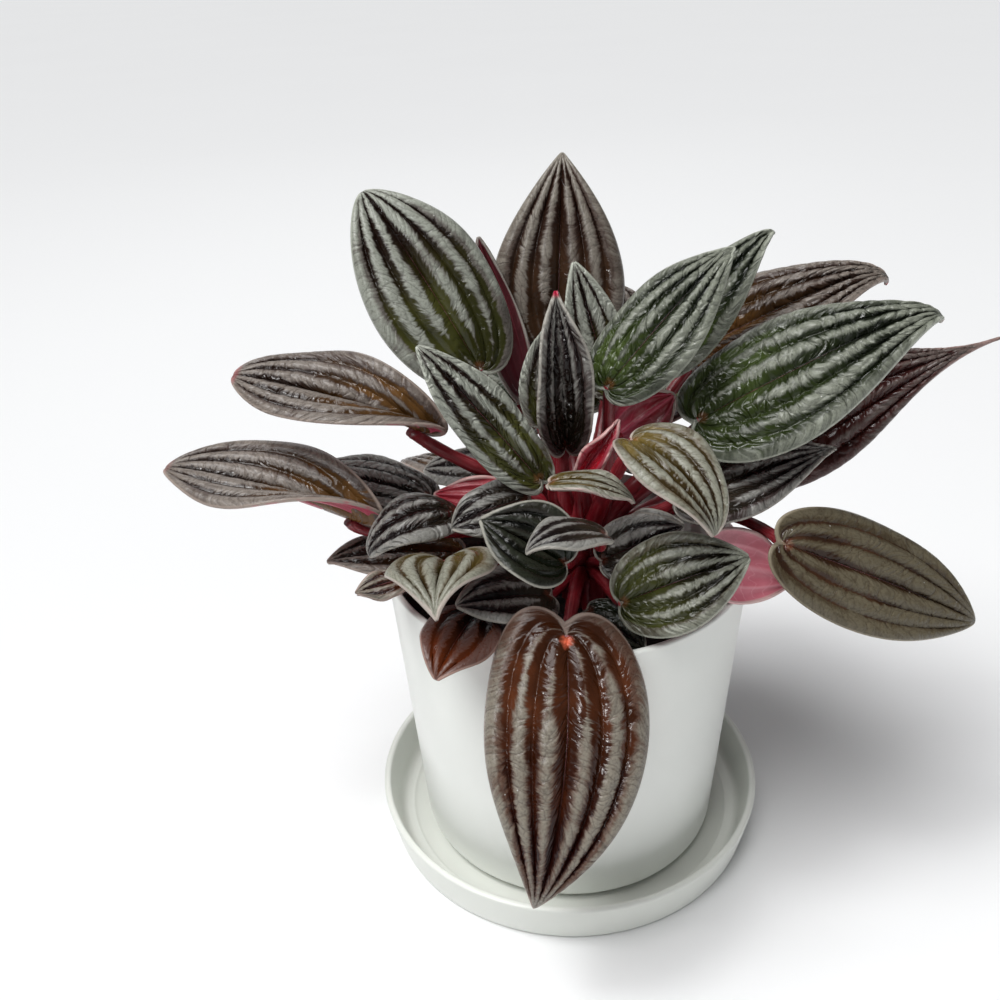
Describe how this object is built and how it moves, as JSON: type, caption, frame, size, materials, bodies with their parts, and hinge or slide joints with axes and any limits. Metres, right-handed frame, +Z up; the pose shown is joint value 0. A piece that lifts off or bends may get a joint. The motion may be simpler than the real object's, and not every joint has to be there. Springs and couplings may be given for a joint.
{
  "type": "potted peperomia",
  "caption": "Small ribbed-leaf peperomia with silvery dark leaves and red stalks, in a plain tapered white pot on a round saucer.",
  "frame": {"origin": "on the pot's axis, at the flat underside of the saucer", "axes": "+Z up along the pot's axis, -Y to the front where the large leaf hangs over the rim, +X to the right along the widest spread of the leaves"},
  "size_m": [0.2351, 0.1576, 0.1994],
  "materials": {
    "saucer_plastic": "satin off-white",
    "pot_plastic": "satin white",
    "potting_mix": "rough dark peat",
    "red_stalk": "translucent satin red",
    "leaf_left_tall": "satin silver-green ribs over olive-black grooves, wine-red underside",
    "leaf_left_tall_behind": "satin dark plum with silver ribs, wine-red underside",
    "leaf_back_tall": "satin mauve-grey ribs over brown grooves, smooth",
    "leaf_back_pale": "satin silver-green ribs over olive-black grooves, wine-red underside",
    "leaf_middle_folded": "satin dark plum with silver ribs, wine-red underside",
    "leaf_middle_silver": "satin silver-green ribs over olive-black grooves, wine-red underside",
    "leaf_right_tall": "glossy grey-green, deeply ribbed and puckered",
    "leaf_right_tall_behind": "glossy grey-green, deeply ribbed and puckered",
    "leaf_middle_front": "satin silver-green ribs over olive-black grooves, wine-red underside",
    "leaf_left_middle": "satin mauve-grey ribs over brown grooves, wine-red underside",
    "leaf_left_low": "satin mauve-grey ribs over brown grooves, wine-red underside",
    "leaf_left_striped": "satin dark plum with silver ribs, wine-red underside",
    "leaf_left_dark_behind": "satin dark plum with silver ribs, wine-red underside",
    "leaf_left_red_underside": "translucent wine red with pale rolled margins",
    "leaf_left_rolled": "satin dark plum with silver ribs, wine-red underside",
    "leaf_left_under_rolled": "satin mauve-grey ribs over brown grooves, wine-red underside",
    "leaf_front_bow": "satin pale sage ribs and grooves, pinkish margin",
    "leaf_front_dark_tip": "satin dark plum with silver ribs, wine-red underside",
    "leaf_front_brown": "glossy rust-brown with a dark base and a mauve tip",
    "leaf_front_hanging": "glossy maroon-brown with mauve-silver ribs",
    "leaf_front_cupped": "satin black-green with faint ribs and a wide pale margin",
    "leaf_front_curved": "satin dark plum with silver ribs, wine-red underside",
    "leaf_front_arch": "satin pale sage ribs and grooves, pinkish margin",
    "leaf_front_ribbed": "satin dark plum with silver ribs, wine-red underside",
    "leaf_young_red": "translucent wine red with pale rolled margins",
    "leaf_front_small_dark": "satin black-green with faint ribs and a wide pale margin",
    "leaf_front_withered": "glossy maroon-brown with mauve-silver ribs",
    "leaf_front_round": "glossy olive-green with silver ribs, pink underside",
    "leaf_right_pink_underside": "satin pink underside turned to the front",
    "leaf_right_small_round": "satin dark plum with silver ribs, wine-red underside",
    "leaf_right_small_striped": "satin dark plum with silver ribs, wine-red underside",
    "leaf_right_arched": "satin pale sage ribs and grooves, pinkish margin",
    "leaf_right_red_underside": "satin mauve-grey ribs over brown grooves, wine-red underside",
    "leaf_right_long": "glossy grey-green, deeply ribbed and puckered",
    "leaf_right_upper": "satin mauve-grey ribs over brown grooves, wine-red underside",
    "leaf_right_far": "satin dark maroon-brown with faint ribs",
    "leaf_right_plum": "satin dark plum with silver ribs, wine-red underside",
    "leaf_right_low": "glossy brown-olive with faint ribs",
    "leaf_rear_left_low": "satin mauve-grey ribs over brown grooves, wine-red underside",
    "leaf_rear_left": "satin silver-green ribs over olive-black grooves, wine-red underside",
    "leaf_rear_middle": "satin silver-green ribs over olive-black grooves, wine-red underside",
    "leaf_rear_right": "satin mauve-grey ribs over brown grooves, wine-red underside",
    "leaf_rear_right_low": "glossy olive-green with silver ribs, pink underside",
    "leaf_rear_upper_left": "glossy grey-green, deeply ribbed and puckered",
    "leaf_rear_upper_middle": "satin mauve-grey ribs over brown grooves, wine-red underside",
    "leaf_rear_upper_right": "glossy grey-green, deeply ribbed and puckered",
    "leaf_rear_hanging": "glossy maroon-brown with mauve-silver ribs",
    "leaf_rear_low": "satin dark plum with silver ribs, wine-red underside",
    "leaf_left_rear": "glossy olive-green with silver ribs, pink underside"
  },
  "bodies": {
    "root": {"saucer": "saucer_plastic", "pot": "pot_plastic", "soil": "potting_mix", "crown_and_stalks": "red_stalk", "leaf_left_tall": "leaf_left_tall", "leaf_left_tall_behind": "leaf_left_tall_behind", "leaf_back_tall": "leaf_back_tall", "leaf_back_pale": "leaf_back_pale", "leaf_middle_folded": "leaf_middle_folded", "leaf_middle_silver": "leaf_middle_silver", "leaf_right_tall": "leaf_right_tall", "leaf_right_tall_behind": "leaf_right_tall_behind", "leaf_middle_front": "leaf_middle_front", "leaf_left_middle": "leaf_left_middle", "leaf_left_low": "leaf_left_low", "leaf_left_striped": "leaf_left_striped", "leaf_left_dark_behind": "leaf_left_dark_behind", "leaf_left_red_underside": "leaf_left_red_underside", "leaf_left_rolled": "leaf_left_rolled", "leaf_left_under_rolled": "leaf_left_under_rolled", "leaf_front_bow": "leaf_front_bow", "leaf_front_dark_tip": "leaf_front_dark_tip", "leaf_front_brown": "leaf_front_brown", "leaf_front_hanging": "leaf_front_hanging", "leaf_front_cupped": "leaf_front_cupped", "leaf_front_curved": "leaf_front_curved", "leaf_front_arch": "leaf_front_arch", "leaf_front_ribbed": "leaf_front_ribbed", "leaf_young_red": "leaf_young_red", "leaf_front_small_dark": "leaf_front_small_dark", "leaf_front_withered": "leaf_front_withered", "leaf_front_round": "leaf_front_round", "leaf_right_pink_underside": "leaf_right_pink_underside", "leaf_right_small_round": "leaf_right_small_round", "leaf_right_small_striped": "leaf_right_small_striped", "leaf_right_arched": "leaf_right_arched", "leaf_right_red_underside": "leaf_right_red_underside", "leaf_right_long": "leaf_right_long", "leaf_right_upper": "leaf_right_upper", "leaf_right_far": "leaf_right_far", "leaf_right_plum": "leaf_right_plum", "leaf_right_low": "leaf_right_low", "leaf_rear_left_low": "leaf_rear_left_low", "leaf_rear_left": "leaf_rear_left", "leaf_rear_middle": "leaf_rear_middle", "leaf_rear_right": "leaf_rear_right", "leaf_rear_right_low": "leaf_rear_right_low", "leaf_rear_upper_left": "leaf_rear_upper_left", "leaf_rear_upper_middle": "leaf_rear_upper_middle", "leaf_rear_upper_right": "leaf_rear_upper_right", "leaf_rear_hanging": "leaf_rear_hanging", "leaf_rear_low": "leaf_rear_low", "leaf_left_rear": "leaf_left_rear"}
  },
  "joints": []
}
